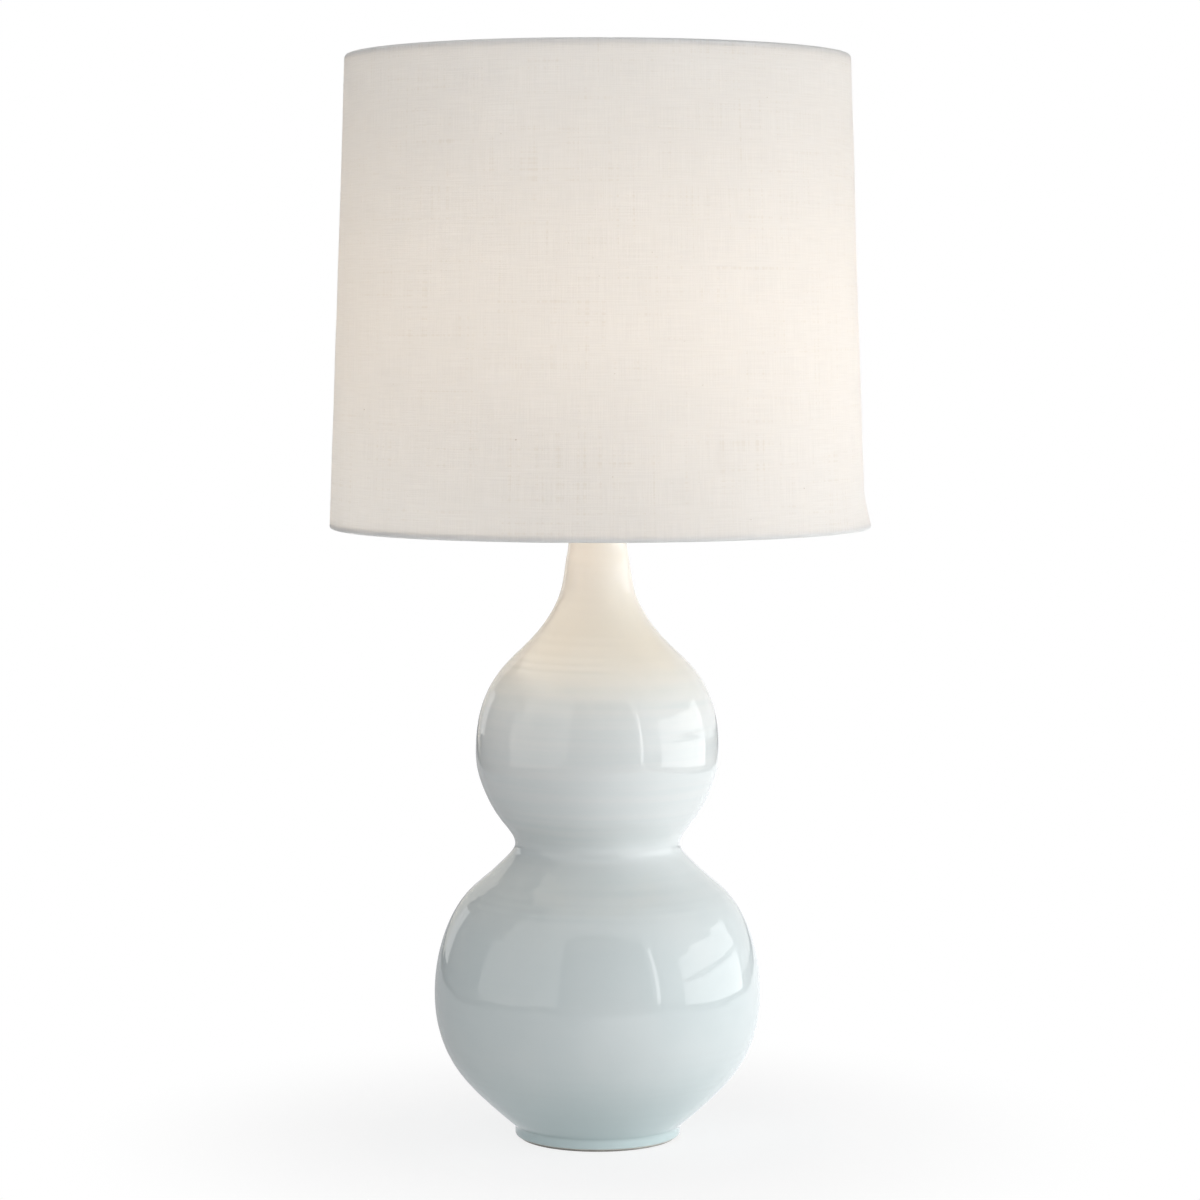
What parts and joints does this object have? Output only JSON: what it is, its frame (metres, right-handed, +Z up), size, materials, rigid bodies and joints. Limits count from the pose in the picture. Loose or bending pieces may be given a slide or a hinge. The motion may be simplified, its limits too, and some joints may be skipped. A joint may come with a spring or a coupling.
{
  "type": "double gourd table lamp",
  "caption": "Table lamp with a glazed ceramic double gourd body, a brass-threaded socket, a wire harp and a tapered linen drum shade.",
  "frame": {"origin": "centre of the felt pad's underside, on the lamp's axis", "axes": "+Z up the lamp's axis, -Y to the front, where the switch knob is"},
  "size_m": [0.4064, 0.4062, 0.8241],
  "materials": {
    "glaze": "glossy pale celadon glaze over thrown stoneware, a little deeper low on each bulb",
    "felt": "pressed wool felt",
    "linen": "off-white slubbed linen, laminated to the liner",
    "styrene": "translucent white styrene sheet",
    "shade_wire": "white powder coat",
    "nickel": "polished nickel plate",
    "zinc": "zinc plated steel",
    "brass": "plain stamped brass",
    "phenolic": "moulded black phenolic",
    "knob_black": "moulded black knob",
    "card": "fibre board sleeve",
    "frosted_glass": "frosted white bulb glass",
    "clear_glass": "clear glass stem",
    "black_glass": "black glass insulator",
    "bulb_metal": "rolled aluminium screw cap",
    "solder": "soldered contact",
    "tungsten": "drawn tungsten and lead wire",
    "gasket_rubber": "soft black rubber"
  },
  "bodies": {
    "base": {"gourd_body": "glaze", "felt_pad": "felt", "base_washer": "zinc", "base_lock_washer": "zinc", "base_hex_nut": "zinc", "lamp_pipe": "zinc", "neck_gasket": "gasket_rubber", "neck_cap": "nickel", "neck_spacer": "nickel", "harp_saddle": "nickel", "socket_cap": "nickel", "cap_set_screw": "zinc", "socket_shell": "nickel", "socket_insulator": "card", "socket_core": "phenolic", "socket_screw_shell": "brass", "socket_contact": "brass", "terminal_screws": "brass"},
    "switch": {"switch_shaft": "brass", "switch_knob": "knob_black"},
    "bulb": {"bulb_glass": "frosted_glass", "bulb_screw_cap": "bulb_metal", "bulb_insulator": "black_glass", "bulb_tip_contact": "solder", "bulb_stem": "clear_glass", "bulb_filament": "tungsten"},
    "harp": {"harp_hoop": "nickel"},
    "left_sleeve": {"harp_sleeve_left": "nickel"},
    "right_sleeve": {"harp_sleeve_right": "nickel"},
    "swivel": {"harp_stud": "nickel"},
    "shade": {"shade_fabric": "linen", "shade_liner": "styrene", "shade_top_ring": "shade_wire", "shade_bottom_ring": "shade_wire"},
    "finial": {"finial": "nickel"}
  },
  "joints": [
    {"name": "switch_turn", "type": "hinge", "parent": "base", "child": "switch", "pos_m": [0, -0.025, 0.5403], "axis": [0, -1, 0], "continuous": true},
    {"name": "bulb_turn", "type": "hinge", "parent": "base", "child": "bulb", "pos_m": [0, 0, 0.5643], "axis": [0, 0, 1], "continuous": true},
    {"name": "harp_lift", "type": "slide", "parent": "base", "child": "harp", "axis": [0, 0, 1], "range_m": [0, 0.03]},
    {"name": "left_sleeve_slide", "type": "slide", "parent": "harp", "child": "left_sleeve", "axis": [0, 0, 1], "range_m": [0, 0.013]},
    {"name": "right_sleeve_slide", "type": "slide", "parent": "harp", "child": "right_sleeve", "axis": [0, 0, 1], "range_m": [0, 0.013]},
    {"name": "shade_swivel", "type": "hinge", "parent": "harp", "child": "swivel", "pos_m": [0, 0, 0.794], "axis": [0, 0, 1], "continuous": true},
    {"name": "shade_lift", "type": "slide", "parent": "swivel", "child": "shade", "axis": [0, 0, 1], "range_m": [0, 0.34]},
    {"name": "finial_turn", "type": "hinge", "parent": "shade", "child": "finial", "pos_m": [0, 0, 0.8], "axis": [0, 0, 1], "continuous": true}
  ]
}
